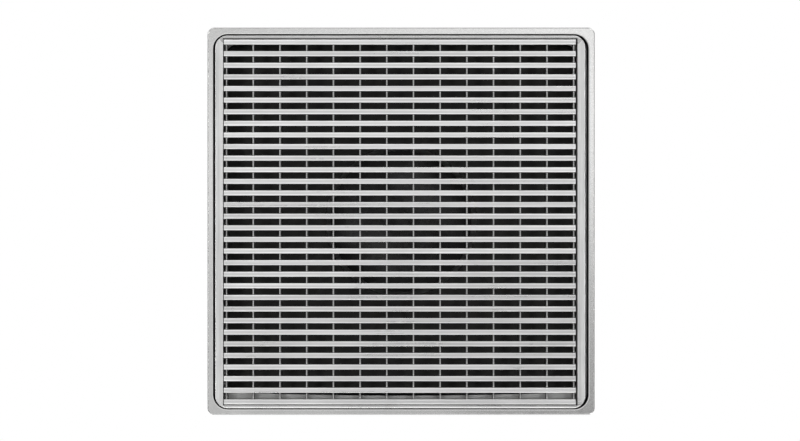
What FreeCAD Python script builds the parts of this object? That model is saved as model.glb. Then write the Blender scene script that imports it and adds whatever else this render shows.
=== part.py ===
import enum
import FreeCAD
import Part
import math
import os
import Sketcher

# Square shower drain: a cast square head with a sump and an outlet collar, a threaded throat under it,
# and a lift-out grate of wedge wires welded across support rods inside a square ring.
# Origin: centre of the throat's lower end. +Z up, wires along X, rods along Y. Millimetres.

# Driving dimensions.
SIZES = {
    # Head: the rim that shows, and the recess that takes the grate.
    "frame_side": 127.0,
    "rim_left": 1.8,
    "rim_right": 1.95,
    "rim_back": 2.1,
    "rim_front": 1.75,
    "rim_corner_radius": 2.2,
    "rim_edge_radius": 0.35,
    "rim_inner_chamfer": 0.25,
    "rim_foot_chamfer": 0.7,
    "groove_left": 0.65,
    "groove_right": 1.05,
    "groove_back": 0.45,
    "groove_front": 0.37,
    "grate_drop": 0.2,
    "seat_side_width": 2.4,
    "seat_back_width": 1.9,
    "seat_front_width": 3.9,
    "seat_thickness": 2.6,
    # Sump under the grate: barrelled square walls, and a floor with a round dish that falls to the outlet.
    "sump_bow_radius": 1400.0,
    "sump_corner_radius": 3.5,
    "sump_wall_depth": 6.0,
    "sump_wall_thickness": 2.0,
    "floor_ledge": 0.8,
    "floor_fall": 4.0,
    "floor_thickness": 2.4,
    # Outlet collar and threaded throat.
    "throat_diameter": 60.3,
    "throat_wall": 4.75,
    "throat_length": 38.0,
    "throat_chamfer": 1.6,
    "spigot_wall": 2.6,
    "spigot_length": 3.0,
    "spigot_side_gap": 0.1,
    "spigot_end_gap": 0.2,
    "collar_step": 3.0,
    "collar_web": 3.0,
    # Grate ring.
    "ring_corner_radius": 4.0,
    "ring_side_width": 2.62,
    "ring_end_width": 0.95,
    "ring_edge_radius": 0.3,
    # Wedge wires.
    "wire_count": 32,
    "wire_width": 1.9,
    "wire_height": 3.4,
    "wire_tip_width": 0.5,
    "wire_edge_radius": 0.25,
    "wire_gap_left": 0.26,
    "wire_gap_right": 0.6,
    "wire_gap_back": 0.31,
    "wire_gap_front": 0.24,
    # Support rods.
    "rod_count": 14,
    "rod_width": 0.6,
    "rod_height": 3.1,
    "rod_inset_left": 0.6,
    "rod_inset_right": 0.35,
}

# Sizes and heights that follow from the driving dimensions.
FITS = {
    "recess_x": "(dims.rim_left - dims.rim_right) / 2",
    "recess_y": "(dims.rim_front - dims.rim_back) / 2",
    "recess_width": "dims.frame_side - dims.rim_left - dims.rim_right",
    "recess_depth": "dims.frame_side - dims.rim_back - dims.rim_front",
    "recess_radius": "dims.ring_corner_radius + (dims.groove_left + dims.groove_right) / 2",
    "ring_x": "recess_x + (dims.groove_left - dims.groove_right) / 2",
    "ring_y": "recess_y + (dims.groove_front - dims.groove_back) / 2",
    "ring_width": "recess_width - dims.groove_left - dims.groove_right",
    "ring_depth": "recess_depth - dims.groove_back - dims.groove_front",
    "ring_height": "dims.wire_height + dims.rod_height",
    "window_width": "ring_width - 2 * dims.ring_side_width",
    "window_depth": "ring_depth - 2 * dims.ring_end_width",
    "panel_x": "ring_x + (dims.wire_gap_left - dims.wire_gap_right) / 2",
    "panel_y": "ring_y + (dims.wire_gap_front - dims.wire_gap_back) / 2",
    "wire_length": "window_width - dims.wire_gap_left - dims.wire_gap_right",
    "wire_span": "window_depth - dims.wire_gap_back - dims.wire_gap_front - dims.wire_width",
    "wire_pitch": "wire_span / (dims.wire_count - 1)",
    "rod_span": "wire_length - dims.rod_inset_left - dims.rod_inset_right",
    "rod_pitch": "rod_span / (dims.rod_count - 1)",
    "rods_x": "panel_x + (dims.rod_inset_left - dims.rod_inset_right) / 2",
    "sump_half_x": "recess_width / 2 - dims.seat_side_width",
    "sump_half_y": "(recess_depth - dims.seat_back_width - dims.seat_front_width) / 2",
    "sump_y": "recess_y + (dims.seat_front_width - dims.seat_back_width) / 2",
    "shell_half_x": "sump_half_x + dims.sump_wall_thickness",
    "shell_half_y": "sump_half_y + dims.sump_wall_thickness",
    "outlet_bore": "dims.throat_diameter - 2 * dims.throat_wall",
    "spigot_diameter": "outlet_bore + 2 * dims.spigot_wall",
    "socket_diameter": "spigot_diameter + 2 * dims.spigot_side_gap",
    "socket_depth": "dims.spigot_length + dims.spigot_end_gap",
    "collar_diameter": "dims.throat_diameter + 2 * dims.collar_step",
    "nearest_wall": "min(sump_half_x - abs(recess_x); sump_half_y - abs(sump_y))",
    "dish_radius": "nearest_wall - dims.floor_ledge",
    "floor_slope": "dims.floor_fall / (dish_radius - outlet_bore / 2)",
    "outlet_floor_z": "dims.throat_length + socket_depth + dims.collar_web",
    "floor_edge_z": "outlet_floor_z + dims.floor_fall",
    "seat_z": "floor_edge_z + dims.sump_wall_depth",
    "rim_z": "seat_z + ring_height + dims.grate_drop",
    "wire_top_z": "seat_z + ring_height",
}

UP = FreeCAD.Vector(0, 0, 1)
SAME_PLACE = 1e-4


class Spot(enum.IntEnum):
    """The point of a sketch's line or arc that a constraint holds."""

    START = 1
    END = 2
    CENTRE = 3


class Guide(enum.IntEnum):
    """A sketch's own origin, which is also its X axis, and its Y axis."""

    ORIGIN = -1
    Y_AXIS = -2


START, END, CENTRE = Spot
ORIGIN, Y_AXIS = Guide


def make_sheets(doc):
    """The driving dimensions as plain numbers, and the sizes worked out from them."""
    dims = doc.addObject("Spreadsheet::Sheet", "dims")
    fits = doc.addObject("Spreadsheet::Sheet", "fits")
    for sheet, cells, sign in ((dims, SIZES, ""), (fits, FITS, "=")):
        for row, (alias, content) in enumerate(cells.items(), 1):
            sheet.set(f"A{row}", alias)
            sheet.set(f"B{row}", f"{sign}{content}")
            sheet.setAlias(f"B{row}", alias)
        doc.recompute()


def make_body(doc, label):
    body = doc.addObject("PartDesign::Body", label)
    body.Label = label
    return body


def make_sketch(body, name, role="XY_Plane", height=None, shift=()):
    """A sketch on one of the body's origin planes, raised along its normal and shifted along its X and Y."""
    sketch = body.newObject("Sketcher::SketchObject", name)
    plane = next(f for f in body.Origin.OriginFeatures if f.Role == role)
    sketch.AttachmentSupport = [(plane, "")]
    sketch.MapMode = "FlatFace"
    if height:
        sketch.setExpression("AttachmentOffset.Base.z", height)
    for axis, distance in zip("xy", shift):
        sketch.setExpression(f"AttachmentOffset.Base.{axis}", distance)
    return sketch


def value_of(sketch, expression):
    return float(sketch.evalExpression(expression))


def bind(sketch, name, expression, *constraint):
    """Adds a dimension to a sketch and ties it to an expression."""
    index = sketch.addConstraint(Sketcher.Constraint(*constraint, value_of(sketch, expression)))
    sketch.renameConstraint(index, name)
    sketch.setExpression(f"Constraints.{name}", expression)


def add_line(sketch, start, end):
    return sketch.addGeometry(Part.LineSegment(FreeCAD.Vector(*start, 0), FreeCAD.Vector(*end, 0)))


def add_arc(sketch, centre, radius, from_deg, to_deg):
    circle = Part.Circle(FreeCAD.Vector(*centre, 0), UP, radius)
    return sketch.addGeometry(Part.ArcOfCircle(circle, math.radians(from_deg), math.radians(to_deg)))


def join_smoothly(sketch, *joints):
    for first, first_end, second, second_end in joints:
        sketch.addConstraint(Sketcher.Constraint("Tangent", first, first_end, second, second_end))


def draw_circle(sketch, diameter):
    circle = Part.Circle(FreeCAD.Vector(0, 0, 0), UP, value_of(sketch, diameter) / 2)
    index = sketch.addGeometry(circle)
    sketch.addConstraint(Sketcher.Constraint("Coincident", index, CENTRE, ORIGIN, 1))
    bind(sketch, "diameter", diameter, "Diameter", index)


def draw_rectangle(sketch, width, depth):
    half_x = value_of(sketch, width) / 2
    half_y = value_of(sketch, depth) / 2
    corners = [(-half_x, half_y), (half_x, half_y), (half_x, -half_y), (-half_x, -half_y)]
    lines = [add_line(sketch, corners[i], corners[(i + 1) % 4]) for i in range(4)]
    for i, line in enumerate(lines):
        sketch.addConstraint(Sketcher.Constraint("Coincident", line, END, lines[(i + 1) % 4], START))
        sketch.addConstraint(Sketcher.Constraint(("Horizontal", "Vertical")[i % 2], line))
    top, right = lines[:2]
    sketch.addConstraint(Sketcher.Constraint("Symmetric", top, START, right, END, ORIGIN, 1))
    bind(sketch, "width", width, "DistanceX", top, START, top, END)
    bind(sketch, "depth", depth, "DistanceY", right, END, right, START)


def draw_rounded_rectangle(sketch, width, depth, radius):
    """Four straight sides and four equal corners, centred on the origin."""
    half_x = value_of(sketch, width) / 2
    half_y = value_of(sketch, depth) / 2
    bend = value_of(sketch, radius)
    flat_x, flat_y = half_x - bend, half_y - bend
    top = add_line(sketch, (-flat_x, half_y), (flat_x, half_y))
    right = add_line(sketch, (half_x, flat_y), (half_x, -flat_y))
    bottom = add_line(sketch, (flat_x, -half_y), (-flat_x, -half_y))
    left = add_line(sketch, (-half_x, -flat_y), (-half_x, flat_y))
    top_right = add_arc(sketch, (flat_x, flat_y), bend, 0, 90)
    bottom_right = add_arc(sketch, (flat_x, -flat_y), bend, 270, 360)
    bottom_left = add_arc(sketch, (-flat_x, -flat_y), bend, 180, 270)
    top_left = add_arc(sketch, (-flat_x, flat_y), bend, 90, 180)
    join_smoothly(
        sketch,
        (top, END, top_right, END),
        (right, START, top_right, START),
        (right, END, bottom_right, END),
        (bottom, START, bottom_right, START),
        (bottom, END, bottom_left, END),
        (left, START, bottom_left, START),
        (left, END, top_left, END),
        (top, START, top_left, START),
    )
    for line in (top, bottom):
        sketch.addConstraint(Sketcher.Constraint("Horizontal", line))
    for line in (right, left):
        sketch.addConstraint(Sketcher.Constraint("Vertical", line))
    for corner in (bottom_right, bottom_left, top_left):
        sketch.addConstraint(Sketcher.Constraint("Equal", top_right, corner))
    sketch.addConstraint(
        Sketcher.Constraint("Symmetric", top_right, CENTRE, bottom_left, CENTRE, ORIGIN, 1)
    )
    bind(sketch, "width", width, "DistanceX", left, START, right, END)
    bind(sketch, "depth", depth, "DistanceY", bottom, START, top, END)
    bind(sketch, "corner_radius", radius, "Radius", top_right)


def draw_barrelled_rectangle(sketch, half_x, half_y, bow, radius):
    """Four sides that bow outwards on large arcs, and four equal corners tangent to them."""
    bow_radius = value_of(sketch, bow)
    bend = value_of(sketch, radius)
    set_x, set_y = bow_radius - value_of(sketch, half_x), bow_radius - value_of(sketch, half_y)
    # A corner's centre lies bow_radius - bend away from the centres of both side arcs that it joins.
    reach = bow_radius - bend
    apart = math.hypot(set_x, set_y)
    rise = math.sqrt(reach**2 - apart**2 / 4)
    corner_x = -set_x / 2 + rise * set_y / apart
    corner_y = -set_y / 2 + rise * set_x / apart
    lean_x = math.degrees(math.atan2(corner_y, corner_x + set_x))
    lean_y = math.degrees(math.atan2(corner_x, corner_y + set_y))
    sides = [
        add_arc(sketch, (-set_x, 0), bow_radius, -lean_x, lean_x),
        add_arc(sketch, (0, -set_y), bow_radius, 90 - lean_y, 90 + lean_y),
        add_arc(sketch, (set_x, 0), bow_radius, 180 - lean_x, 180 + lean_x),
        add_arc(sketch, (0, set_y), bow_radius, 270 - lean_y, 270 + lean_y),
    ]
    corners = [
        add_arc(sketch, (corner_x, corner_y), bend, lean_x, 90 - lean_y),
        add_arc(sketch, (-corner_x, corner_y), bend, 90 + lean_y, 180 - lean_x),
        add_arc(sketch, (-corner_x, -corner_y), bend, 180 + lean_x, 270 - lean_y),
        add_arc(sketch, (corner_x, -corner_y), bend, 270 + lean_y, 360 - lean_x),
    ]
    for quarter in range(4):
        side, bend_arc, next_side = sides[quarter], corners[quarter], sides[(quarter + 1) % 4]
        join_smoothly(sketch, (side, END, bend_arc, START), (bend_arc, END, next_side, START))
    for other in range(1, 4):
        sketch.addConstraint(Sketcher.Constraint("Equal", sides[0], sides[other]))
        sketch.addConstraint(Sketcher.Constraint("Equal", corners[0], corners[other]))
    right, back, left, front = sides
    for side in (right, left):
        sketch.addConstraint(Sketcher.Constraint("PointOnObject", side, CENTRE, ORIGIN))
    for side in (back, front):
        sketch.addConstraint(Sketcher.Constraint("PointOnObject", side, CENTRE, Y_AXIS))
    bind(sketch, "right_centre", f"{bow} - {half_x}", "DistanceX", right, CENTRE, ORIGIN, 1)
    bind(sketch, "left_centre", f"{bow} - {half_x}", "DistanceX", ORIGIN, 1, left, CENTRE)
    bind(sketch, "back_centre", f"{bow} - {half_y}", "DistanceY", back, CENTRE, ORIGIN, 1)
    bind(sketch, "front_centre", f"{bow} - {half_y}", "DistanceY", ORIGIN, 1, front, CENTRE)
    bind(sketch, "bow_radius", bow, "Radius", right)
    bind(sketch, "corner_radius", radius, "Radius", corners[0])


def draw_bar_profile(sketch, width, foot_width, height, edge_radius):
    """A bar's section, top face on the sketch's X axis: rounded top edges, sides down to a flat foot."""
    half_top = value_of(sketch, width) / 2
    half_foot = value_of(sketch, foot_width) / 2
    depth = value_of(sketch, height)
    bend = value_of(sketch, edge_radius)
    flat = half_top - bend
    # The side is tangent to the edge arc and passes through the foot's corner.
    run, drop = flat - half_foot, depth - bend
    lean = math.atan2(run, drop) + math.asin(bend / math.hypot(run, drop))
    touch = (flat + bend * math.cos(lean), -bend - bend * math.sin(lean))
    lean_deg = math.degrees(lean)
    top = add_line(sketch, (-flat, 0), (flat, 0))
    right = add_line(sketch, touch, (half_foot, -depth))
    foot = add_line(sketch, (half_foot, -depth), (-half_foot, -depth))
    left = add_line(sketch, (-half_foot, -depth), (-touch[0], touch[1]))
    right_edge = add_arc(sketch, (flat, -bend), bend, -lean_deg, 90)
    left_edge = add_arc(sketch, (-flat, -bend), bend, 90, 180 + lean_deg)
    join_smoothly(
        sketch,
        (top, END, right_edge, END),
        (right, START, right_edge, START),
        (top, START, left_edge, START),
        (left, END, left_edge, END),
    )
    sketch.addConstraint(Sketcher.Constraint("Coincident", right, END, foot, START))
    sketch.addConstraint(Sketcher.Constraint("Coincident", foot, END, left, START))
    sketch.addConstraint(Sketcher.Constraint("Equal", right_edge, left_edge))
    sketch.addConstraint(Sketcher.Constraint("Symmetric", foot, START, foot, END, Y_AXIS))
    sketch.addConstraint(
        Sketcher.Constraint("Symmetric", right_edge, CENTRE, left_edge, CENTRE, Y_AXIS)
    )
    sketch.addConstraint(Sketcher.Constraint("PointOnObject", top, START, ORIGIN))
    bind(sketch, "edge_radius", edge_radius, "Radius", right_edge)
    bind(sketch, "flat_width", f"{width} - 2 * {edge_radius}", "DistanceX", top, START, top, END)
    bind(sketch, "foot_width", foot_width, "DistanceX", foot, END, foot, START)
    bind(sketch, "depth", height, "DistanceY", foot, END, top, START)


def add_pad(body, name, sketch, length, symmetric=False, downwards=False):
    pad = body.newObject("PartDesign::Pad", name)
    pad.Profile = sketch
    pad.setExpression("Length", length)
    pad.SideType = "Symmetric" if symmetric else "One side"
    pad.Reversed = downwards
    return pad


def add_pocket(body, name, sketch, length, upwards=False):
    """Cuts a sketch's outline out of the body, downwards from the sketch unless told otherwise."""
    pocket = body.newObject("PartDesign::Pocket", name)
    pocket.Profile = sketch
    pocket.setExpression("Length", length)
    pocket.Reversed = upwards
    return pocket


def add_dish(body, name, stem, cone_z):
    """Hangs a round dish with a stem from a block's underside, falling as a cone from its edge to the stem.

    The cone lies at cone_z where it would meet the outlet's bore.
    """
    section = make_sketch(body, f"{name}_section", role="XZ_Plane")
    foot_z = "dims.throat_length"
    stem_radius = f"{stem} / 2"
    lip_z = f"{cone_z} + ({stem_radius} - fits.outlet_bore / 2) * fits.floor_slope"
    edge_z = f"{cone_z} + dims.floor_fall"
    near, far = value_of(section, stem_radius), value_of(section, "fits.dish_radius")
    low, lip, high = value_of(section, foot_z), value_of(section, lip_z), value_of(section, edge_z)
    corners = [(0, low), (near, low), (near, lip), (far, high), (0, high)]
    lines = [add_line(section, corner, corners[(i + 1) % 5]) for i, corner in enumerate(corners)]
    for i, line in enumerate(lines):
        section.addConstraint(Sketcher.Constraint("Coincident", line, END, lines[(i + 1) % 5], START))
    foot, side, cone, top, axis = lines
    for line in (foot, top):
        section.addConstraint(Sketcher.Constraint("Horizontal", line))
    for line in (side, axis):
        section.addConstraint(Sketcher.Constraint("Vertical", line))
    section.addConstraint(Sketcher.Constraint("PointOnObject", foot, START, Y_AXIS))
    bind(section, "stem_radius", stem_radius, "DistanceX", ORIGIN, 1, side, START)
    bind(section, "foot_height", foot_z, "DistanceY", ORIGIN, 1, side, START)
    bind(section, "lip_height", lip_z, "DistanceY", ORIGIN, 1, cone, START)
    bind(section, "dish_radius", "fits.dish_radius", "DistanceX", ORIGIN, 1, cone, END)
    bind(section, "edge_height", edge_z, "DistanceY", ORIGIN, 1, cone, END)
    dish = body.newObject("PartDesign::Revolution", name)
    dish.Profile = section
    dish.ReferenceAxis = (section, ["V_Axis"])
    dish.Angle = 360


def edges_along(shape, outline, height):
    """Names of the level edges at a height that lie on a sketch's outline, seen from above."""
    names = []
    outline_z = outline.Shape.BoundBox.ZMin
    for number, edge in enumerate(shape.Edges, 1):
        box = edge.BoundBox
        middle = edge.valueAt((edge.FirstParameter + edge.LastParameter) / 2)
        spot = Part.Vertex(middle.x, middle.y, outline_z)
        level = max(abs(box.ZMin - height), abs(box.ZMax - height)) < SAME_PLACE
        if level and outline.Shape.distToShape(spot)[0] < SAME_PLACE:
            names.append(f"Edge{number}")
    return names


def finish_edges(doc, body, kind, name, outline, height):
    """Starts a fillet or chamfer on the edges that the body has along an outline at a height."""
    doc.recompute()
    base = body.Tip
    feature = body.newObject(f"PartDesign::{kind}", name)
    feature.Base = (base, edges_along(base.Shape, outline, value_of(outline, height)))
    return feature


def round_edges(doc, body, name, outline, height, radius):
    finish_edges(doc, body, "Fillet", name, outline, height).setExpression("Radius", radius)


def chamfer_edges(doc, body, name, outline, height, size):
    finish_edges(doc, body, "Chamfer", name, outline, height).setExpression("Size", size)


def make_sump_core(doc):
    """The space inside the sump and outlet, as the core that a casting is made around. It isn't a piece."""
    core = make_body(doc, "sump_core")
    outline = make_sketch(core, "sump_outline", height="fits.seat_z", shift=("fits.recess_x", "fits.sump_y"))
    draw_barrelled_rectangle(outline, "fits.sump_half_x", "fits.sump_half_y", "dims.sump_bow_radius",
                             "dims.sump_corner_radius")
    add_pad(core, "sump_space", outline, "dims.sump_wall_depth", downwards=True)
    add_dish(core, "sump_dish", "fits.outlet_bore", "fits.outlet_floor_z")
    return core


def make_head(doc):
    """The casting: square rim, seat for the grate, barrelled sump, dished floor and outlet collar."""
    core = make_sump_core(doc)
    body = make_body(doc, "drain_head")
    shell = make_sketch(body, "shell_outline", height="fits.seat_z", shift=("fits.recess_x", "fits.sump_y"))
    draw_barrelled_rectangle(shell, "fits.shell_half_x", "fits.shell_half_y",
                             "dims.sump_bow_radius + dims.sump_wall_thickness",
                             "dims.sump_corner_radius + dims.sump_wall_thickness")
    add_pad(body, "sump_shell", shell, "dims.sump_wall_depth + dims.floor_thickness", downwards=True)
    add_dish(body, "collar", "fits.collar_diameter", "fits.outlet_floor_z - dims.floor_thickness")

    rim = make_sketch(body, "rim_outline", height="fits.rim_z")
    draw_rounded_rectangle(rim, "dims.frame_side", "dims.frame_side", "dims.rim_corner_radius")
    add_pad(body, "rim_block", rim, "fits.rim_z - fits.seat_z + dims.seat_thickness", downwards=True)
    recess = make_sketch(body, "recess_outline", height="fits.rim_z",
                         shift=("fits.recess_x", "fits.recess_y"))
    draw_rounded_rectangle(recess, "fits.recess_width", "fits.recess_depth", "fits.recess_radius")
    add_pocket(body, "recess", recess, "fits.rim_z - fits.seat_z")

    sump = body.newObject("PartDesign::Boolean", "sump")
    sump.Type = "Cut"
    sump.setObjects([core])

    socket = make_sketch(body, "socket_outline", height="dims.throat_length")
    draw_circle(socket, "fits.socket_diameter")
    add_pocket(body, "socket", socket, "fits.socket_depth", upwards=True)

    foot_z = "fits.seat_z - dims.seat_thickness"
    round_edges(doc, body, "rim_edge", rim, "fits.rim_z", "dims.rim_edge_radius")
    chamfer_edges(doc, body, "rim_inner_edge", recess, "fits.rim_z", "dims.rim_inner_chamfer")
    chamfer_edges(doc, body, "rim_foot", rim, foot_z, "dims.rim_foot_chamfer")
    return body


def make_throat(doc):
    """The length of pipe, threaded outside, whose spigot is let into the collar up to a shoulder."""
    body = make_body(doc, "threaded_throat")
    outside = make_sketch(body, "throat_outline")
    draw_circle(outside, "dims.throat_diameter")
    add_pad(body, "throat_wall", outside, "dims.throat_length")
    spigot = make_sketch(body, "spigot_outline", height="dims.throat_length")
    draw_circle(spigot, "fits.spigot_diameter")
    add_pad(body, "spigot", spigot, "dims.spigot_length")
    bore = make_sketch(body, "bore_outline")
    draw_circle(bore, "fits.outlet_bore")
    add_pocket(body, "bore", bore, "dims.throat_length + dims.spigot_length", upwards=True)
    chamfer_edges(doc, body, "lead_in", outside, "0", "dims.throat_chamfer")
    return body


def make_ring(doc):
    """The grate's square ring: broad sides at the wires' ends, thin ends along the first and last wire."""
    body = make_body(doc, "grate_ring")
    outline = make_sketch(body, "ring_outline", height="fits.seat_z")
    draw_rounded_rectangle(outline, "fits.ring_width", "fits.ring_depth", "dims.ring_corner_radius")
    add_pad(body, "ring_block", outline, "fits.ring_height")
    window = make_sketch(body, "window_outline", height="fits.seat_z")
    draw_rectangle(window, "fits.window_width", "fits.window_depth")
    add_pocket(body, "window", window, "fits.ring_height", upwards=True)
    round_edges(doc, body, "ring_edge", outline, "fits.wire_top_z", "dims.ring_edge_radius")
    body.setExpression("Placement.Base.x", "fits.ring_x")
    body.setExpression("Placement.Base.y", "fits.ring_y")
    return body


def make_wire(doc, index):
    """One wedge wire: broad flat face up, tapering to the narrow tip that is welded to the rods."""
    body = make_body(doc, f"wedge_wire_{index + 1:02d}")
    section = make_sketch(body, "wire_section", role="YZ_Plane")
    draw_bar_profile(section, "dims.wire_width", "dims.wire_tip_width", "dims.wire_height",
                     "dims.wire_edge_radius")
    add_pad(body, "wire_length", section, "fits.wire_length", symmetric=True)
    body.setExpression("Placement.Base.x", "fits.panel_x")
    body.setExpression("Placement.Base.y", f"fits.panel_y + fits.wire_span / 2 - {index} * fits.wire_pitch")
    body.setExpression("Placement.Base.z", "fits.wire_top_z")
    return body


def make_rod(doc, index):
    """One support rod, a flat bar on edge under the wires' tips, from one end of the ring to the other."""
    body = make_body(doc, f"support_rod_{index + 1:02d}")
    section = make_sketch(body, "rod_section", role="XZ_Plane")
    draw_rectangle(section, "dims.rod_width", "dims.rod_height")
    add_pad(body, "rod_length", section, "fits.window_depth", symmetric=True)
    body.setExpression("Placement.Base.x", f"fits.rods_x - fits.rod_span / 2 + {index} * fits.rod_pitch")
    body.setExpression("Placement.Base.y", "fits.ring_y")
    body.setExpression("Placement.Base.z", "fits.seat_z + dims.rod_height / 2")
    return body


def check(doc, bodies):
    """Stops if an object failed to build, or a piece isn't one valid solid."""
    for item in doc.Objects:
        if {"Invalid", "Error"} & set(item.State):
            raise RuntimeError(f"{item.Label} failed: {item.State}")
    for body in bodies:
        shape = body.Shape
        if shape.isNull() or not shape.isValid() or len(shape.Solids) != 1:
            raise RuntimeError(f"{body.Label} is not one valid solid")


def main():
    doc = FreeCAD.newDocument("square_shower_drain")
    make_sheets(doc)
    bodies = [make_head(doc), make_throat(doc), make_ring(doc)]
    bodies += [make_wire(doc, index) for index in range(SIZES["wire_count"])]
    bodies += [make_rod(doc, index) for index in range(SIZES["rod_count"])]
    doc.recompute()
    check(doc, bodies)
    os.makedirs("parts", exist_ok=True)
    for body in bodies:
        body.Shape.exportStep(os.path.join("parts", f"{body.Label}.step"))


main()
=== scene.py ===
"""Square shower drain: its steel finishes, thread and welds, and a white studio seen from straight above."""
import logging
import math
from dataclasses import dataclass
from enum import Enum, IntEnum

import bmesh
import bpy
from mathutils import Matrix, Vector


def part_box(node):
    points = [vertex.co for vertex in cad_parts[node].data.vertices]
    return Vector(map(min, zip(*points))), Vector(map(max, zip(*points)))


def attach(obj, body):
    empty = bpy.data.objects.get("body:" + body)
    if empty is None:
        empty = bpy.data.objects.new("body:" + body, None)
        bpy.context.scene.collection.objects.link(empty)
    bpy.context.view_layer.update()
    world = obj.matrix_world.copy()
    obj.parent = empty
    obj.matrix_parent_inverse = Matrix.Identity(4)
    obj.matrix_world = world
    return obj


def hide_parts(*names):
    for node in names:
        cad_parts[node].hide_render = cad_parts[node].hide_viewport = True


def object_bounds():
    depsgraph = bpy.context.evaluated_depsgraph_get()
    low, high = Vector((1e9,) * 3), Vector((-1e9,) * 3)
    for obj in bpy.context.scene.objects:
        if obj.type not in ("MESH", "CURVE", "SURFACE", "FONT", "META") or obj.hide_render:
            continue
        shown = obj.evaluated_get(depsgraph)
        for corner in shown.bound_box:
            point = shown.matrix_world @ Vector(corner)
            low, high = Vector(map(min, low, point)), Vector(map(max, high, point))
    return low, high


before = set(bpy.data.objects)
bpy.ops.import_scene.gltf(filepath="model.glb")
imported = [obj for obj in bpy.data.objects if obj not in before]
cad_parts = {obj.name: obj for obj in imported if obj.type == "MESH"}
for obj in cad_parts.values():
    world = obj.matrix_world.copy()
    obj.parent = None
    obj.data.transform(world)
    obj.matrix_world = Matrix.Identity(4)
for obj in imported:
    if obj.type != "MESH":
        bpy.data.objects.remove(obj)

Colour = tuple[float, float, float]
Opaque = tuple[float, float, float, float]
Source = bpy.types.NodeSocket | float | tuple

LOG = logging.getLogger("square_shower_drain")
CAD_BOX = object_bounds()
MM = 0.001
BODY = "root"
FULL_TURN = 2 * math.pi
HALF = 0.5


def grey(level: float) -> Opaque:
    """Gives an opaque grey.

    Args:
        level: How light it is, from 0 to 1.

    Returns:
        Its red, green, blue and alpha.
    """
    return (level, level, level, 1.0)


WHITE = grey(1.0)


class Axis(IntEnum):
    """An axis of the frame that a row of bars is spaced along."""

    X = 0
    Y = 1


class Lay(Enum):
    """Which way a finish's fine lines run, as the stretch of the pattern's coordinates."""

    ALONG_X = (0.013, 1.0, 1.0)
    ALONG_Y = (1.0, 0.013, 1.0)
    TURNED = (0.02, 0.02, 1.0)
    CAST = (1.0, 1.0, 1.0)


class Node(Enum):
    """The shader nodes that the materials are made of."""

    AMBIENT_OCCLUSION = "ShaderNodeAmbientOcclusion"
    BUMP = "ShaderNodeBump"
    COORDINATE = "ShaderNodeTexCoord"
    DIFFUSE = "ShaderNodeBsdfDiffuse"
    EMISSION = "ShaderNodeEmission"
    GROUP = "ShaderNodeGroup"
    GROUP_IN = "NodeGroupInput"
    GROUP_OUT = "NodeGroupOutput"
    LIGHT_PATH = "ShaderNodeLightPath"
    MAP_RANGE = "ShaderNodeMapRange"
    MAPPING = "ShaderNodeMapping"
    MATH = "ShaderNodeMath"
    MIX = "ShaderNodeMix"
    MIX_SHADER = "ShaderNodeMixShader"
    NOISE = "ShaderNodeTexNoise"
    OUTPUT = "ShaderNodeOutputMaterial"
    SEPARATE = "ShaderNodeSeparateXYZ"
    VECTOR_MATH = "ShaderNodeVectorMath"
    VORONOI = "ShaderNodeTexVoronoi"
    WHITE_NOISE = "ShaderNodeTexWhiteNoise"


@dataclass(frozen=True)
class Surface:
    """The three sockets that a finish hands to a material.

    Args:
        colour: Base colour over the surface.
        roughness: Roughness over the surface.
        height: Relief in metres.
    """

    colour: bpy.types.NodeSocket
    roughness: bpy.types.NodeSocket
    height: bpy.types.NodeSocket


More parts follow.
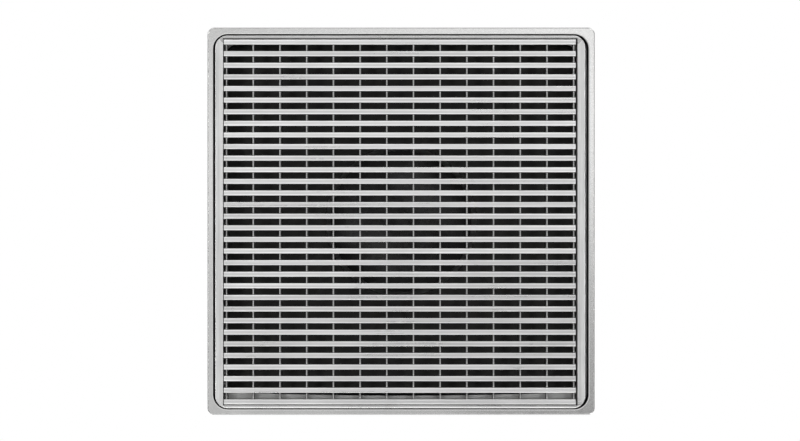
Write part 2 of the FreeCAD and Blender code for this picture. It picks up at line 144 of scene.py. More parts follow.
class Shading:
    """Adds and joins nodes in one shader tree."""

    def __init__(self, tree: bpy.types.NodeTree) -> None:
        """Keeps the tree that nodes go into.

        Args:
            tree: A material's, a world's or a group's tree.
        """
        self.tree = tree

    def plug(self, socket: bpy.types.NodeSocket, source: Source) -> None:
        """Joins a socket to another one, or sets its value.

        Args:
            socket: The input to feed.
            source: An output socket, or a plain value.
        """
        if isinstance(source, bpy.types.NodeSocket):
            self.tree.links.new(source, socket)
        else:
            socket.default_value = source

    def add(self, kind: Node, inputs: dict[str | int, Source] | None = None,
            **settings: object) -> bpy.types.Node:
        """Adds a node.

        Args:
            kind: Which node.
            inputs: What each named or numbered input is fed with.
            settings: The node's own properties.

        Returns:
            The new node.
        """
        node = self.tree.nodes.new(kind.value)
        for name, setting in settings.items():
            setattr(node, name, setting)
        for name, source in (inputs or {}).items():
            self.plug(node.inputs[name], source)
        return node

    def math(self, operation: str, first: Source, second: Source = 0.0) -> bpy.types.NodeSocket:
        """Works one value out from two.

        Args:
            operation: The Math node's operation.
            first: Its first value.
            second: Its second value.

        Returns:
            The result's socket.
        """
        return self.add(Node.MATH, {0: first, 1: second}, operation=operation).outputs[0]

    def spread(self, source: Source, low: float, high: float, start: float = 0.0,
               end: float = 1.0, smooth: bool = False) -> bpy.types.NodeSocket:
        """Maps a value from one range to another.

        Args:
            source: The value.
            low: Result at start.
            high: Result at end.
            start: Value that gives low.
            end: Value that gives high.
            smooth: Eases in and out.

        Returns:
            The result's socket.
        """
        inputs = {"Value": source, "From Min": start, "From Max": end, "To Min": low, "To Max": high}
        kind = "SMOOTHSTEP" if smooth else "LINEAR"
        return self.add(Node.MAP_RANGE, inputs, interpolation_type=kind).outputs["Result"]

    def mix(self, data: str, sources: tuple[Source, Source, Source],
            **settings: str) -> bpy.types.NodeSocket:
        """Adds a Mix node.

        Args:
            data: How the node names its sockets for this kind of data.
            sources: The factor, the first and the second value.
            settings: The node's own properties.

        Returns:
            The result's socket.
        """
        node = self.add(Node.MIX, **settings)
        sockets = {socket.identifier: socket for socket in node.inputs}
        for name, source in zip(("Factor_Float", f"A_{data}", f"B_{data}"), sources):
            self.plug(sockets[name], source)
        return next(socket for socket in node.outputs if socket.identifier == f"Result_{data}")

    def mix_colours(self, factor: Source, first: Source, second: Source,
                    blend: str = "MIX") -> bpy.types.NodeSocket:
        """Mixes two colours.

        Args:
            factor: How far the second one comes in.
            first: The first colour.
            second: The second colour.
            blend: The Mix node's way of mixing.

        Returns:
            The result's socket.
        """
        return self.mix("Color", (factor, first, second), data_type="RGBA", blend_type=blend)

    def mix_values(self, factor: Source, first: Source, second: Source) -> bpy.types.NodeSocket:
        """Mixes two values.

        Args:
            factor: How far the second one comes in.
            first: The first value.
            second: The second value.

        Returns:
            The result's socket.
        """
        return self.mix("Float", (factor, first, second), data_type="FLOAT")

    def use(self, effect: bpy.types.NodeTree, inputs: dict[str, Source]) -> bpy.types.Node:
        """Places a shared effect.

        Args:
            effect: The effect's node group.
            inputs: What each of its inputs is fed with.

        Returns:
            The group's node.
        """
        return self.add(Node.GROUP, inputs, node_tree=effect)


class Effects:
    """The shared effects, each a node group that is made once."""

    PATTERN = {"Vector": "NodeSocketVector", "Scale": "NodeSocketFloat"}
    ROW = {"Place": "NodeSocketFloat", "Pitch": "NodeSocketFloat"}
    # Fineness of the broad lines against the fine ones, and of pits against grain.
    BROAD_SHARE = 0.23
    PIT_SHARE = 0.7
    # How much of the grain's height the middle of a pit keeps, and how far a pit reaches in its cell.
    PIT_KEEPS = 0.55
    PIT_REACH = (0.05, 0.4)
    # The part of each noise's range that is spread from 0 to 1.
    LINE_HEIGHTS = (0.3, 0.7)
    LINE_TONES = (0.36, 0.64)
    GRAIN_TONES = (0.25, 0.62)
    MARK_TONES = (0.33, 0.67)

    def __init__(self) -> None:
        """Makes every effect."""
        self.lines = self.make_lines()
        self.grain = self.make_grain()
        self.marks = self.make_marks()
        self.pieces = self.make_pieces()

    @staticmethod
    def start(name: str, inputs: dict[str, str],
              outputs: list[str]) -> tuple[Shading, dict[str, bpy.types.NodeSocket], bpy.types.Node]:
        """Starts a group.

        Args:
            name: The group's name.
            inputs: Socket type by input name.
            outputs: Names of the outputs, all values.

        Returns:
            The group's shading, its input sockets by name, and its output node.
        """
        tree = bpy.data.node_groups.new(name, "ShaderNodeTree")
        for label, kind in inputs.items():
            tree.interface.new_socket(name=label, in_out="INPUT", socket_type=kind)
        for label in outputs:
            tree.interface.new_socket(name=label, in_out="OUTPUT", socket_type="NodeSocketFloat")
        shading = Shading(tree)
        entry = shading.add(Node.GROUP_IN)
        leave = shading.add(Node.GROUP_OUT)
        return shading, {socket.name: socket for socket in entry.outputs}, leave

    def make_lines(self) -> bpy.types.NodeTree:
        """Makes fine parallel lines from drawing, brushing or turning, with a few broader ones.

        Returns:
            The effect.
        """
        shading, given, leave = self.start("fine_lines", self.PATTERN, ["Height", "Tone"])
        fine = shading.add(Node.NOISE, {"Vector": given["Vector"], "Scale": given["Scale"],
                                        "Detail": 3.0, "Roughness": 0.65}).outputs[0]
        broad_scale = shading.math("MULTIPLY", given["Scale"], self.BROAD_SHARE)
        broad = shading.add(Node.NOISE, {"Vector": given["Vector"], "Scale": broad_scale,
                                         "Detail": 2.0, "Roughness": 0.5}).outputs[0]
        shading.plug(leave.inputs["Height"], shading.spread(fine, 0.0, 1.0, *self.LINE_HEIGHTS))
        mixed = shading.math("ADD", shading.math("MULTIPLY", fine, HALF),
                             shading.math("MULTIPLY", broad, HALF))
        shading.plug(leave.inputs["Tone"], shading.spread(mixed, 0.0, 1.0, *self.LINE_TONES))
        return shading.tree

    def make_grain(self) -> bpy.types.NodeTree:
        """Makes the grain of a casting: a fine rough skin with shallow pits.

        Returns:
            The effect.
        """
        shading, given, leave = self.start("cast_grain", self.PATTERN, ["Height", "Tone"])
        skin = shading.add(Node.NOISE, {"Vector": given["Vector"], "Scale": given["Scale"],
                                        "Detail": 3.0, "Roughness": 0.6})
        pit_scale = shading.math("MULTIPLY", given["Scale"], self.PIT_SHARE)
        cells = shading.add(Node.VORONOI, {"Vector": given["Vector"], "Scale": pit_scale})
        pits = shading.spread(cells.outputs["Distance"], 0.0, 1.0, *self.PIT_REACH, smooth=True)
        height = shading.math("MULTIPLY", skin.outputs[0], shading.spread(pits, self.PIT_KEEPS, 1.0))
        shading.plug(leave.inputs["Height"], height)
        shading.plug(leave.inputs["Tone"], shading.spread(height, 0.0, 1.0, *self.GRAIN_TONES))
        return shading.tree

    def make_marks(self) -> bpy.types.NodeTree:
        """Makes broad uneven patches, as polishing and handling leave them.

        Returns:
            The effect.
        """
        shading, given, leave = self.start("handling_marks", self.PATTERN, ["Mask"])
        cloud = shading.add(Node.NOISE, {"Vector": given["Vector"], "Scale": given["Scale"],
                                         "Detail": 4.0, "Roughness": 0.55, "Distortion": 0.4})
        mask = shading.spread(cloud.outputs[0], 0.0, 1.0, *self.MARK_TONES, smooth=True)
        shading.plug(leave.inputs["Mask"], mask)
        return shading.tree

    def make_pieces(self) -> bpy.types.NodeTree:
        """Makes one steady value for each of a row of equal bars, and the distance from a bar's middle.

        Returns:
            The effect.
        """
        shading, given, leave = self.start("piece_by_piece", self.ROW, ["Tone", "Off Middle"])
        number = shading.math("ROUND", shading.math("DIVIDE", given["Place"], given["Pitch"]))
        noise = shading.add(Node.WHITE_NOISE, {"W": number}, noise_dimensions="1D")
        shading.plug(leave.inputs["Tone"], noise.outputs["Value"])
        middle = shading.math("MULTIPLY", number, given["Pitch"])
        off = shading.math("SUBTRACT", given["Place"], middle)
        shading.plug(leave.inputs["Off Middle"], shading.math("ABSOLUTE", off))
        return shading.tree


@dataclass(frozen=True)
class SteelFinish:
    """How one steel surface was left by its making.

    Args:
        colour: Base colour.
        roughness: Mean roughness.
        uneven: How far roughness wanders over the surface.
        lay: Which way its lines run.
        line_scale: Lines' fineness, per metre.
        line_depth: Lines' relief in metres.
        line_tone: How far lines lighten and darken the colour.
        grain_scale: Grain's fineness, per metre.
        grain_depth: Grain's relief in metres.
        grain_tone: How far grain lightens and darkens the colour.
        mark_scale: Broad patches' fineness, per metre.
        mark_tone: How far broad patches lighten and darken the colour.
        edge_highlight: How far a painted highlight lightens a bar's long edges.
        edge_shade: Width of the painted shade on a bar's rounded long edges, in metres.
    """

    colour: Colour
    roughness: float
    uneven: float
    lay: Lay
    line_scale: float = 4000.0
    line_depth: float = 4e-6
    line_tone: float = 0.04
    grain_scale: float = 2600.0
    grain_depth: float = 1e-6
    grain_tone: float = 0.02
    mark_scale: float = 45.0
    mark_tone: float = 0.03
    # Painted highlight near a bar's long edges, and painted shade on the edges' rounding.
    edge_highlight: float = 0.0
    edge_shade: float = 0.0

    def shade(self, tone: float) -> Opaque:
        """Makes the colour lighter or darker.

        Args:
            tone: The change, as a share of the colour.

        Returns:
            The new colour.
        """
        return (*(min(1.0, channel * (1.0 + tone)) for channel in self.colour), 1.0)

    def lay_on(self, shading: Shading, effects: Effects, place: bpy.types.NodeSocket) -> Surface:
        """Works the finish out at a place.

        Args:
            shading: The material's tree.
            effects: The shared effects.
            place: Object coordinates.

        Returns:
            The finish's colour, roughness and relief.
        """
        stretched = shading.add(Node.MAPPING, {"Vector": place, "Scale": self.lay.value}).outputs["Vector"]
        lines = shading.use(effects.lines, {"Vector": stretched, "Scale": self.line_scale}).outputs
        grain = shading.use(effects.grain, {"Vector": place, "Scale": self.grain_scale}).outputs
        marks = shading.use(effects.marks, {"Vector": place, "Scale": self.mark_scale}).outputs
        lined = shading.mix_colours(lines["Tone"], self.shade(-self.line_tone), self.shade(self.line_tone))
        patch_tone = self.grain_tone + self.mark_tone
        patchy = shading.mix_values(self.grain_tone / patch_tone, marks["Mask"], grain["Tone"])
        grained = shading.mix_colours(patchy, self.shade(-patch_tone), self.shade(patch_tone))
        colour = shading.mix_colours(HALF, lined, grained)
        rough_mask = shading.mix_values(HALF, marks["Mask"], lines["Tone"])
        roughness = shading.spread(rough_mask, self.roughness - self.uneven, self.roughness + self.uneven)
        height = shading.math("ADD", shading.math("MULTIPLY", lines["Height"], self.line_depth),
                              shading.math("MULTIPLY", grain["Height"], self.grain_depth))
        return Surface(colour, roughness, height)


class SteelMaterial:
    """A metal material that finishes are laid on."""

    def __init__(self, name: str) -> None:
        """Starts a material with plain steel and object coordinates.

        Args:
            name: The material's name.
        """
        self.material = bpy.data.materials.new(name)
        self.material.use_nodes = True
        self.shading = Shading(self.material.node_tree)
        self.steel = self.material.node_tree.nodes["Principled BSDF"]
        self.steel.inputs["Metallic"].default_value = 1.0
        coordinates = self.shading.add(Node.COORDINATE)
        self.place = coordinates.outputs["Object"]
        self.facing = coordinates.outputs["Normal"]

    def axes(self) -> tuple[bpy.types.NodeSocket, bpy.types.NodeSocket, bpy.types.NodeSocket]:
        """Takes the object's own coordinates apart.

        Returns:
            X, Y and Z at each place.
        """
        node = self.shading.add(Node.SEPARATE, {"Vector": self.place})
        return node.outputs["X"], node.outputs["Y"], node.outputs["Z"]

    def wear(self, surface: Surface) -> bpy.types.Material:
        """Joins a finish to the steel.

        Args:
            surface: What the finish worked out.

        Returns:
            The finished material.
        """
        bump = self.shading.add(Node.BUMP, {"Height": surface.height, "Strength": 1.0, "Distance": 1.0})
        self.shading.plug(self.steel.inputs["Base Color"], surface.colour)
        self.shading.plug(self.steel.inputs["Roughness"], surface.roughness)
        self.shading.plug(self.steel.inputs["Normal"], bump.outputs["Normal"])
        return self.material

    def blend(self, mask: bpy.types.NodeSocket, first: Surface, second: Surface) -> Surface:
        """Goes from one finish to another where a mask rises from 0 to 1.

        Args:
            mask: The mask.
            first: The finish where it is 0.
            second: The finish where it is 1.

        Returns:
            The joint finish.
        """
        return Surface(
            self.shading.mix_colours(mask, first.colour, second.colour),
            self.shading.mix_values(mask, first.roughness, second.roughness),
            self.shading.mix_values(mask, first.height, second.height),
        )


POLISHED_CASTING = SteelFinish((0.66, 0.66, 0.655), 0.2, 0.05, Lay.CAST, line_depth=0.0, line_tone=0.015,
                               grain_scale=1500.0, grain_depth=7e-6, grain_tone=0.05, mark_tone=0.04)
# Painted shade: the rim's rounded outer edge is coloured at half the rim's lightness, which damps the glint
# the lamps make on it.
SHADED_EDGE = SteelFinish((0.32, 0.32, 0.318), 0.34, 0.05, Lay.CAST, line_depth=0.0, line_tone=0.015,
                        grain_scale=1500.0, grain_depth=7e-6, grain_tone=0.05, mark_tone=0.04)
MACHINED_SEAT = SteelFinish((0.5, 0.5, 0.497), 0.6, 0.05, Lay.ALONG_X, line_depth=6e-6, line_tone=0.05)
# Painted shade: near-black colour for the sump and the other faces below the rim that look in or up, where
# shade falls.
PAINTED_SUMP_SHADE = SteelFinish((0.036, 0.036, 0.035), 0.6, 0.06, Lay.CAST, line_depth=0.0, line_tone=0.01,
                        grain_scale=1100.0, grain_depth=3e-5, grain_tone=0.1, mark_tone=0.06)
CASTING_SKIN = SteelFinish((0.36, 0.36, 0.353), 0.48, 0.06, Lay.CAST, line_depth=0.0, line_tone=0.01,
                           grain_scale=1100.0, grain_depth=2e-5, grain_tone=0.1, mark_tone=0.08)
TURNED = SteelFinish((0.55, 0.55, 0.545), 0.4, 0.04, Lay.TURNED, line_depth=2e-6, line_tone=0.05)
BRUSHED_LONG = SteelFinish((0.55, 0.55, 0.547), 0.36, 0.05, Lay.ALONG_Y, line_scale=2600.0,
                           line_depth=4e-6, line_tone=0.3)
BRUSHED_ACROSS = SteelFinish((0.59, 0.59, 0.587), 0.28, 0.05, Lay.ALONG_X, line_scale=2600.0,
                             line_depth=4e-6, line_tone=0.3)
# Painted shade: a darker copy of the across-brushed finish, for the ring's back bar.
SHADED_BACK = SteelFinish((0.44, 0.44, 0.438), 0.28, 0.05, Lay.ALONG_X, line_scale=2600.0,
                        line_depth=4e-6, line_tone=0.3)
# The wires get a painted highlight just inside their long edges and painted shade on the edges' rounding;
# the rods get the painted shade and a faint painted highlight.
DRAWN_WIRE = SteelFinish((0.96, 0.96, 0.955), 0.3, 0.04, Lay.ALONG_X, line_scale=2000.0,
                         line_depth=2e-6, line_tone=0.38, edge_highlight=0.25, edge_shade=0.155 * MM)
DRAWN_ROD = SteelFinish((0.46, 0.46, 0.457), 0.38, 0.05, Lay.ALONG_Y, line_depth=6e-6, line_tone=0.05,
                        edge_shade=0.08 * MM)
WELD_METAL = SteelFinish((0.5, 0.49, 0.475), 0.38, 0.08, Lay.CAST, line_depth=0.0, line_tone=0.02,
                         grain_scale=2200.0, grain_depth=1e-5, grain_tone=0.08, mark_tone=0.08)


def dress(piece: bpy.types.Object, material: bpy.types.Material) -> None:
    """Gives a piece one material all over.

    Args:
        piece: The piece.
        material: What it wears.
    """
    piece.data.materials.clear()
    piece.data.materials.append(material)
    LOG.info("%s wears %s", piece.name, material.name)


def finish_piece(name: str, shape: bmesh.types.BMesh,
                 crease_deg: float = 35.0) -> bpy.types.Object:
    """Turns a shape into a piece that rides on the drain.

    Args:
        name: The piece's name.
        shape: Its shape, which is freed.
        crease_deg: Edges that bend more stay sharp.

    Returns:
        The new piece.
    """
    bmesh.ops.recalc_face_normals(shape, faces=shape.faces)
    mesh = bpy.data.meshes.new(name)
    shape.to_mesh(mesh)
    shape.free()
    mesh.shade_smooth()
    mesh.set_sharp_from_angle(angle=math.radians(crease_deg))
    piece = bpy.data.objects.new(name, mesh)
    bpy.context.scene.collection.objects.link(piece)
    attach(piece, BODY)
    return piece


def revolve(shape: bmesh.types.BMesh, outline: list[tuple[float, float]], steps: int) -> None:
    """Spins a closed outline once around Z.

    Args:
        shape: The mesh that takes the ring.
        outline: Radius and height of each corner, in order.
        steps: Facets around the turn.
    """
    corners = [shape.verts.new((radius, 0.0, height)) for radius, height in outline]
    edges = [shape.edges.new((corner, corners[i - 1])) for i, corner in enumerate(corners)]
    bmesh.ops.spin(shape, geom=corners + edges, cent=(0, 0, 0), axis=(0, 0, 1), angle=FULL_TURN,
                   steps=steps, use_merge=True)


@dataclass
class DrainHead:
    """The casting: polished rim with painted shade on its rounded outer edge, machined seat, sump painted
    near-black as shade, and grey skin outside.

    Args:
        polish_depth: How far below the rim's top the polish reaches.
        polish_fade: Height over which it runs out.
        seat_depth: From the rim's top down to the seat.
        seat_margin: Height above and below the seat that the cutter also touched.
        shaded_edge_width: Width of the rounded outer edge, which is painted darker as shade.
        outward_least: Least outward lean, times distance from the axis, of a face that is outside.
        up_least: Least upward lean of the seat.
        down_most: Upward lean below which a face looks down.
    """

    polish_depth: float = 0.9 * MM
    polish_fade: float = 0.6 * MM
    seat_depth: float = 6.7 * MM
    seat_margin: float = 0.12 * MM
    shaded_edge_width: float = 0.33 * MM
    outward_least: float = 8 * MM
    up_least: float = 0.5
    down_most: float = -0.3

    def build(self, effects: Effects) -> None:
        """Dresses the casting.

        Args:
            effects: The shared effects.
        """
        cast = SteelMaterial("cast_steel")
        shading = cast.shading
        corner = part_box("drain_head")[1]
        across, along, height = cast.axes()
        upward = shading.add(Node.SEPARATE, {"Vector": cast.facing}).outputs["Z"]
        edge = corner.z - self.polish_depth
        rim = shading.spread(height, 0.0, 1.0, edge - self.polish_fade, edge, smooth=True)
        off_seat = shading.math("SUBTRACT", height, corner.z - self.seat_depth)
        level = shading.math("LESS_THAN", shading.math("ABSOLUTE", off_seat), self.seat_margin)
        seat = shading.math("MULTIPLY", level, shading.math("GREATER_THAN", upward, self.up_least))
        reach = shading.math("MAXIMUM", shading.math("ABSOLUTE", across), shading.math("ABSOLUTE", along))
        # Painted shade on the rim's rounded outer edge.
        outer = shading.math("GREATER_THAN", reach, corner.x - self.shaded_edge_width)
        # The grey skin, with painted shade in the sump.
        skin = self.lay_skin_and_sump_shade(cast, effects, upward)
        machined = MACHINED_SEAT.lay_on(shading, effects, cast.place)
        polish = POLISHED_CASTING.lay_on(shading, effects, cast.place)
        shaded_finish = SHADED_EDGE.lay_on(shading, effects, cast.place)
        below = cast.blend(seat, skin, machined)
        top = cast.blend(outer, polish, shaded_finish)
        dress(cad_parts["drain_head"], cast.wear(cast.blend(rim, below, top)))

    def lay_skin_and_sump_shade(self, cast: SteelMaterial, effects: Effects, upward: bpy.types.NodeSocket) -> Surface:
        """Lays the casting's grey skin on faces that look out or down, and near-black painted shade on the
        other faces, as in the sump.

        Args:
            cast: The casting's material.
            effects: The shared effects.
            upward: How far each face looks up.

        Returns:
            The colour, roughness and relief of the grey skin and the painted shade.
        """
        shading = cast.shading
        flat = shading.add(Node.VECTOR_MATH, {0: cast.place, 1: (1.0, 1.0, 0.0)}, operation="MULTIPLY")
        outward = shading.add(Node.VECTOR_MATH, {0: cast.facing, 1: flat.outputs["Vector"]},
                              operation="DOT_PRODUCT").outputs["Value"]
        out = shading.math("GREATER_THAN", outward, self.outward_least)
        down = shading.math("LESS_THAN", upward, self.down_most)
        # Painted shade: faces that look neither out nor down are near-black.
        sump_shade = PAINTED_SUMP_SHADE.lay_on(shading, effects, cast.place)
        plain = CASTING_SKIN.lay_on(shading, effects, cast.place)
        return cast.blend(shading.math("MAXIMUM", out, down), sump_shade, plain)


@dataclass
class ThreadedThroat:
    """The pipe under the head, with its thread cut, and the weld that holds it in the collar.

    Args:
        bore: Radius of the waterway.
        spigot: Radius of the end that goes into the collar.
        spigot_length: How far that end goes in.
        lead_in: Chamfer at the lower end.
        pitch: Height of one turn of thread.
        depth: From the thread's crest to its root.
        sunk: How deep the ridge's foot lies in the pipe.
        root_width: Flat between two ridges.
        crest_width: Flat along a ridge's top.
        run_out: Height over which the last turns fade.
        plain: Unthreaded height under the collar.
        steps: Facets around one turn.
        bead: Radius of the weld's section.
        bead_corners: Corners of that section.
        bead_flatness: Its height against its width.
        ripples: Ripples around the weld.
        ripple_steps: Facets along one ripple.
        ripple_depth: How far a ripple dips, as a share of the section's radius.
    """

    bore: float = 25.4 * MM
    spigot: float = 28.0 * MM
    spigot_length: float = 3.0 * MM
    lead_in: float = 1.6 * MM
    pitch: float = 25.4 / 11.5 * MM
    depth: float = 1.45 * MM
    sunk: float = 0.1 * MM
    root_width: float = 0.3 * MM
    crest_width: float = 0.28 * MM
    run_out: float = 3.5 * MM
    plain: float = 3.0 * MM
    steps: int = 96
    bead: float = 1.1 * MM
    bead_corners: int = 10
    bead_flatness: float = 0.8
    ripples: int = 84
    ripple_steps: int = 4
    ripple_depth: float = 0.1

    def build(self, effects: Effects) -> None:
        """Makes the pipe, its thread and its weld, in place of the plain pipe.

        Args:
            effects: The shared effects.
        """
        turned = SteelMaterial("turned_steel")
        steel = turned.wear(TURNED.lay_on(turned.shading, effects, turned.place))
        low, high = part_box("threaded_throat")
        crest, shoulder = high.x, high.z - self.spigot_length
        pipe = self.make_pipe(crest - self.depth, low.z, shoulder, high.z)
        thread = self.make_thread(crest, low.z, shoulder - self.plain)
        for piece in (pipe, thread):
            dress(piece, steel)
            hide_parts("threaded_throat")
        weld = SteelMaterial("weld_steel")
        metal = weld.wear(WELD_METAL.lay_on(weld.shading, effects, weld.place))
        dress(self.make_weld(crest, shoulder), metal)

    def make_pipe(self, root: float, foot: float, shoulder: float, top: float) -> bpy.types.Object:
        """Revolves the pipe's wall at the thread's root.

        Args:
            root: Radius at the thread's root.
            foot: Height of the lower end.
            shoulder: Height of the shoulder under the collar.
            top: Height of the spigot's end.

        Returns:
            The pipe.
        """
        full = root + self.depth
        plain_foot = shoulder - self.plain
        foot_edge = full - self.lead_in
        outline = [
            (self.bore, foot), (foot_edge, foot), (root, foot + root - foot_edge),
            (root, plain_foot - self.run_out), (full, plain_foot), (full, shoulder),
            (self.spigot, shoulder), (self.spigot, top), (self.bore, top),
        ]
        shape = bmesh.new()
        revolve(shape, outline, self.steps)
        return finish_piece("throat_pipe", shape)

    def make_thread(self, crest: float, foot: float, top: float) -> bpy.types.Object:
        """Winds the thread's ridge up the pipe and trims it at both ends.

        Args:
            crest: Radius at the ridge's top.
            foot: Height of the pipe's lower end.
            top: Height where the thread has run out.

        Returns:
            The thread.
        """
        base = crest - self.depth - self.sunk
        foot_half = (self.pitch - self.root_width) / 2
        top_half = self.crest_width / 2
        section = [(base, -foot_half), (crest, -top_half), (crest, top_half), (base, foot_half)]
        start = foot + foot_half
        turns = (top - start) / self.pitch
        shape = bmesh.new()
        corners = [shape.verts.new((radius, 0.0, start + rise)) for radius, rise in section]
        edges = [shape.edges.new((corner, corners[i - 1])) for i, corner in enumerate(corners)]
        last = bmesh.ops.spin(shape, geom=corners + edges, cent=(0, 0, 0), axis=(0, 0, 1),
                              dvec=(0, 0, self.pitch / self.steps), angle=turns * FULL_TURN,
                              steps=round(turns * self.steps))
        ends = [item for item in last["geom_last"] if isinstance(item, bmesh.types.BMEdge)]
        bmesh.ops.contextual_create(shape, geom=edges)
        bmesh.ops.contextual_create(shape, geom=ends)
        self.trim(shape, crest, foot, top)
        return finish_piece("throat_thread", shape)

    def trim(self, shape: bmesh.types.BMesh, crest: float, foot: float, top: float) -> None:
        """Turns the ridge down to the lead-in's cone, and ends it level where it has run out.

        Args:
            shape: The wound ridge.
            crest: Radius at its top.
            foot: Height of the pipe's lower end.
            top: Height where it has run out.
        """
        foot_edge = crest - self.lead_in
        for vert in shape.verts:
            radius = math.hypot(vert.co.x, vert.co.y)
            limit = min(crest, foot_edge + max(0.0, vert.co.z - foot))
            if radius > limit:
                vert.co.x *= limit / radius
                vert.co.y *= limit / radius
            vert.co.z = min(vert.co.z, top + self.crest_width)

    def make_weld(self, radius: float, height: float) -> bpy.types.Object:
        """Runs a rippled bead around the pipe under the collar.

        Args:
            radius: Outside of the pipe.
            height: Underside of the collar.

        Returns:
            The weld.
        """
        outline = []
        for corner in range(self.bead_corners):
            turn = FULL_TURN * corner / self.bead_corners
            rise = self.bead * math.sin(turn) * self.bead_flatness
            outline.append((radius + self.bead * math.cos(turn), height + rise))
        shape = bmesh.new()
        revolve(shape, outline, self.ripples * self.ripple_steps)
        middle = Vector((radius, 0.0, height))
        for vert in shape.verts:
            turn = math.atan2(vert.co.y, vert.co.x)
            ripple = abs(math.sin(turn * self.ripples / 2))
            swell = 1.0 - self.ripple_depth + self.ripple_depth * ripple
            centre = Matrix.Rotation(turn, 3, "Z") @ middle
            vert.co = centre + (vert.co - centre) * swell
        return finish_piece("throat_weld", shape, crease_deg=60.0)


@dataclass
class WedgeWireGrate:
    """The lift-out grate: ring, wedge wires, support rods, and the spot welds between them.

    Args:
        weld_radius: Half-width of a spot weld.
        weld_height: Half-height of a spot weld.
        bar_tint: How much darker the darkest bar of a row is.
        highlight_reach: How far in from its edge a bar carries its painted highlight.
        shade_fade: Width over which the painted shade on a bar's edge begins.
        shade_tint: How light that painted shade is, as a share of the bar's colour.
    """

    weld_radius: float = 0.5 * MM
    weld_height: float = 0.28 * MM
    bar_tint: float = 0.1
    highlight_reach: float = 0.45 * MM
    shade_fade: float = 0.06 * MM
    shade_tint: float = 0.06

    @staticmethod
    def named(prefix: str) -> list[bpy.types.Object]:
        """Finds the nodes whose names start alike.

        Args:
            prefix: How their names start.

        Returns:
            The nodes, in order.
        """
        return [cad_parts[name] for name in sorted(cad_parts) if name.startswith(prefix)]

    @staticmethod
    def middle(piece: bpy.types.Object) -> Vector:
        """Finds the middle of a node's box.

        Args:
            piece: The node.

        Returns:
            The middle.
        """
        low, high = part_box(piece.name)
        return (low + high) / 2

    def build(self, effects: Effects) -> None:
        """Dresses the ring, wires and rods, and adds the welds.

        Args:
            effects: The shared effects.
        """
        wires, rods = self.named("wedge_wire_"), self.named("support_rod_")
        self.dress_ring(effects)
        self.dress_row(effects, "wire_steel", wires, DRAWN_WIRE, Axis.Y)
        self.dress_row(effects, "rod_steel", rods, DRAWN_ROD, Axis.X)
        self.make_welds(effects, wires, rods)

    def dress_ring(self, effects: Effects) -> None:
        """Brushes the ring along each of its sides, with painted shade on its back bar.

        Args:
            effects: The shared effects.
        """
        ring = SteelMaterial("ring_steel")
        shading = ring.shading
        across, along, _ = ring.axes()
        side = shading.math("GREATER_THAN", shading.math("ABSOLUTE", across),
                            shading.math("ABSOLUTE", along))
        # Painted shade: the back bar takes the darker copy of the front bar's finish.
        back = shading.math("GREATER_THAN", along, 0.0)
        front = BRUSHED_ACROSS.lay_on(shading, effects, ring.place)
        shaded_finish = SHADED_BACK.lay_on(shading, effects, ring.place)
        ends = ring.blend(back, front, shaded_finish)
        sides = BRUSHED_LONG.lay_on(shading, effects, ring.place)
        dress(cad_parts["grate_ring"], ring.wear(ring.blend(side, ends, sides)))

    def dress_row(self, effects: Effects, name: str, row: list[bpy.types.Object], finish: SteelFinish,
                  axis: Axis) -> None:
        """Dresses a row of equal bars, each a shade of its own, with a painted highlight near their long
        edges and painted shade on them.

        Args:
            effects: The shared effects.
            name: The material's name.
            row: The bars, in order.
            finish: Their finish.
            axis: Which axis they are spaced along.
        """
        steel = SteelMaterial(name)
        shading = steel.shading
        first, second = self.middle(row[0])[axis], self.middle(row[1])[axis]
        offset = shading.math("SUBTRACT", steel.axes()[axis], first)
        bar = shading.use(effects.pieces, {"Place": offset, "Pitch": abs(second - first)}).outputs
        low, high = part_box(row[0].name)
        edge = (high[axis] - low[axis]) / 2 - finish.edge_shade
        shade_start = edge - self.shade_fade
        # Painted highlight: a band just inside each long edge goes toward white, and the rest of the bar is
        # darkened by the highlight's share.
        highlight = shading.spread(bar["Off Middle"], 0.0, 1.0, edge - self.highlight_reach, shade_start, smooth=True)
        # Painted shade: the outermost strip of each long edge, over its rounding, is darkened nearly to
        # black; skin here names only this painted shade.
        skin = shading.spread(bar["Off Middle"], 0.0, 1.0, shade_start, edge, smooth=True)
        lightest = 1.0 - finish.edge_highlight
        shade = shading.mix_colours(bar["Tone"], grey(lightest - self.bar_tint), grey(lightest))
        bright = shading.mix_colours(highlight, shade, WHITE)
        tint = shading.mix_colours(skin, bright, grey(self.shade_tint))
        plain = finish.lay_on(shading, effects, steel.place)
        colour = shading.mix_colours(1.0, plain.colour, tint, blend="MULTIPLY")
        material = steel.wear(Surface(colour, plain.roughness, plain.height))
        for piece in row:
            dress(piece, material)

    def make_welds(self, effects: Effects, wires: list[bpy.types.Object],
                   rods: list[bpy.types.Object]) -> None:
        """Puts a small flattened bead of weld metal where each wire's tip crosses a rod.

        Args:
            effects: The shared effects.
            wires: The wedge wires.
            rods: The support rods.
        """
        shape = bmesh.new()
        size = Matrix.Diagonal((self.weld_radius, self.weld_radius, self.weld_height, 1.0))
        rod_tops = [(self.middle(rod).x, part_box(rod.name)[1].z) for rod in rods]
        for wire in wires:
            y = self.middle(wire).y
            for x, top in rod_tops:
                place = Matrix.Translation((x, y, top)) @ size
                bmesh.ops.create_icosphere(shape, subdivisions=1, radius=1.0, matrix=place)
        welds = finish_piece("spot_welds", shape, crease_deg=80.0)
        steel = SteelMaterial("spot_weld_steel")
        dress(welds, steel.wear(WELD_METAL.lay_on(steel.shading, effects, steel.place)))


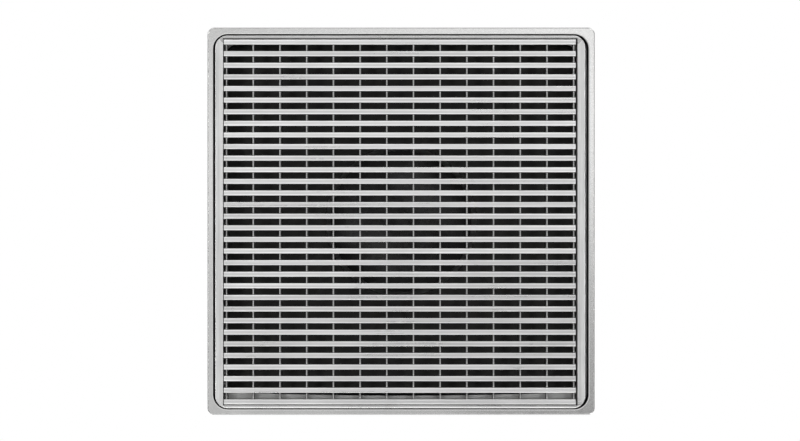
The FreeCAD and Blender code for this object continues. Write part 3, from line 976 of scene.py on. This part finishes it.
@dataclass(frozen=True)
class LightPanel:
    """A soft rectangular lamp that faces the drain.

    Args:
        name: The lamp's name.
        place: Where its middle is.
        size: Its width and height.
        radiance: How bright its face is, where 1 is white.
    """

    name: str
    place: tuple[float, float, float]
    size: tuple[float, float]
    radiance: float

    def build(self, target: Vector) -> None:
        """Hangs the lamp and turns it to a target.

        Args:
            target: What it faces.
        """
        lamp = bpy.data.lights.new(self.name, "AREA")
        lamp.shape = "RECTANGLE"
        lamp.size, lamp.size_y = self.size
        lamp.energy = self.radiance * math.pi * self.size[0] * self.size[1]
        panel = bpy.data.objects.new(self.name, lamp)
        panel.location = self.place
        panel.rotation_euler = (Vector(self.place) - target).to_track_quat("Z", "Y").to_euler()
        bpy.context.scene.collection.objects.link(panel)


@dataclass
class Studio:
    """A white floor, soft panels and a camera that looks straight down, as the photograph does.

    Args:
        photo_width_px: The photograph's width.
        photo_height_px: Its height.
        rim_width_px: The rim's width in it.
        rim_middle_px: Where the rim's middle is in it.
        camera_height: From the rim's top to the camera.
        sensor: The camera's sensor width in millimetres.
        near_clip: Distance where the camera begins to see.
        floor_side: The floor's side.
        floor_grey: How light the floor is to other pieces.
        shade_reach: How near a piece has to be to shade the floor.
        shade_samples: Samples for that shade.
        shade_range: Openness of the floor where it is darkest and where it is white.
        shade_least: What is left of the white at its darkest.
        overhead: How bright the surround is overhead, where the horizon is 1.
        rise_range: Rise above the horizon over which the surround darkens.
    """

    photo_width_px: float = 800.0
    photo_height_px: float = 441.0
    rim_width_px: float = 387.4
    rim_middle_px: tuple[float, float] = (401.1, 221.2)
    camera_height: float = 0.6
    sensor: float = 36.0
    near_clip: float = 0.01
    floor_side: float = 6.0
    floor_grey: float = 0.75
    shade_reach: float = 45 * MM
    shade_samples: int = 16
    shade_range: tuple[float, float] = (0.33, 0.95)
    shade_least: float = 0.0035
    overhead: float = 0.12
    rise_range: tuple[float, float] = (0.12, 0.45)

    def build(self) -> None:
        """Sets up view, floor, world, lamps and camera."""
        bpy.context.scene.view_settings.view_transform = "Standard"
        low, high = CAD_BOX
        target = Vector(((low.x + high.x) / 2, (low.y + high.y) / 2, high.z))
        self.make_floor(low.z)
        self.make_world()
        for panel in self.panels():
            panel.build(target)
        self.make_camera(target, high.x - low.x)

    @staticmethod
    def panels() -> list[LightPanel]:
        """Lists the lamps: three overhead, a small bright one at each side, and broad low ones fore and aft.

        Returns:
            The lamps.
        """
        return [
            LightPanel("top_panel", (-0.075, -0.05, 1.5), (0.53, 0.84), 0.57),
            LightPanel("right_top_panel", (0.39, 0.2, 1.5), (0.4, 0.38), 0.52),
            LightPanel("back_panel", (0.0, 0.17, 1.5), (1.1, 0.34), 0.48),
            LightPanel("key_panel", (-0.77, 0.08, 1.46), (0.9, 0.25), 9.6),
            LightPanel("front_panel", (0.1, -1.0, 0.95), (1.4, 1.2), 2.9),
            LightPanel("low_back_panel", (0.1, 0.95, 1.05), (1.4, 0.8), 3.0),
            LightPanel("right_panel", (0.85, 0.05, 1.3), (0.45, 0.3), 10.5),
        ]

    def make_floor(self, height: float) -> None:
        """Lays a white floor that darkens only where the drain stands close over it.

        Args:
            height: Where the floor lies.
        """
        shape = bmesh.new()
        bmesh.ops.create_grid(shape, x_segments=1, y_segments=1, size=self.floor_side / 2,
                              matrix=Matrix.Translation((0, 0, height)))
        mesh = bpy.data.meshes.new("floor")
        shape.to_mesh(mesh)
        shape.free()
        floor = bpy.data.objects.new("floor", mesh)
        bpy.context.scene.collection.objects.link(floor)
        dress(floor, self.make_white())

    def make_white(self) -> bpy.types.Material:
        """Makes the floor's white, which is seen as white and lights other pieces as plain pale paint.

        Returns:
            The material.
        """
        material = bpy.data.materials.new("white_floor")
        material.use_nodes = True
        material.node_tree.nodes.clear()
        shading = Shading(material.node_tree)
        path = shading.add(Node.LIGHT_PATH).outputs
        seen = shading.math("MAXIMUM", path["Is Camera Ray"], path["Is Glossy Ray"])
        seen = shading.math("MAXIMUM", seen, path["Is Transmission Ray"])
        openness = shading.add(Node.AMBIENT_OCCLUSION, {"Distance": self.shade_reach},
                               samples=self.shade_samples).outputs["AO"]
        glow = shading.spread(openness, self.shade_least, 1.0, *self.shade_range, smooth=True)
        pale = shading.add(Node.DIFFUSE, {"Color": grey(self.floor_grey)})
        white = shading.add(Node.EMISSION, {"Color": WHITE, "Strength": glow})
        both = shading.add(Node.MIX_SHADER, {0: seen, 1: pale.outputs[0], 2: white.outputs[0]})
        shading.add(Node.OUTPUT, {"Surface": both.outputs[0]})
        return material

    def make_world(self) -> None:
        """Makes a surround that is white at the horizon and darker overhead."""
        world = bpy.data.worlds.new("white_room")
        world.use_nodes = True
        bpy.context.scene.world = world
        shading = Shading(world.node_tree)
        direction = shading.add(Node.COORDINATE).outputs["Generated"]
        rise = shading.add(Node.SEPARATE, {"Vector": direction}).outputs["Z"]
        surround = world.node_tree.nodes["Background"]
        surround.inputs["Color"].default_value = WHITE
        strength = shading.spread(rise, 1.0, self.overhead, *self.rise_range, smooth=True)
        shading.plug(surround.inputs["Strength"], strength)

    def make_camera(self, target: Vector, rim_side: float) -> None:
        """Hangs the camera over the rim so that it fills the photograph's frame.

        Args:
            target: Middle of the rim's top.
            rim_side: The rim's side.
        """
        camera = bpy.data.cameras.new("overhead_camera")
        metres_per_px = rim_side / self.rim_width_px
        camera.sensor_fit = "HORIZONTAL"
        camera.sensor_width = self.sensor
        camera.lens = self.sensor * self.camera_height / (metres_per_px * self.photo_width_px)
        camera.clip_start = self.near_clip
        rig = bpy.data.objects.new("overhead_camera", camera)
        across = (self.photo_width_px / 2 - self.rim_middle_px[0]) * metres_per_px
        along = (self.rim_middle_px[1] - self.photo_height_px / 2) * metres_per_px
        rig.location = target + Vector((across, along, self.camera_height))
        bpy.context.scene.collection.objects.link(rig)
        bpy.context.scene.camera = rig


def main() -> None:
    """Dresses the drain, builds its thread and welds, and sets up the studio."""
    logging.basicConfig(level=logging.INFO, format="%(message)s")
    effects = Effects()
    for part in (DrainHead(), ThreadedThroat(), WedgeWireGrate()):
        part.build(effects)
        LOG.info("built %s", type(part).__name__)
    Studio().build()


if __name__ == "__main__":
    main()
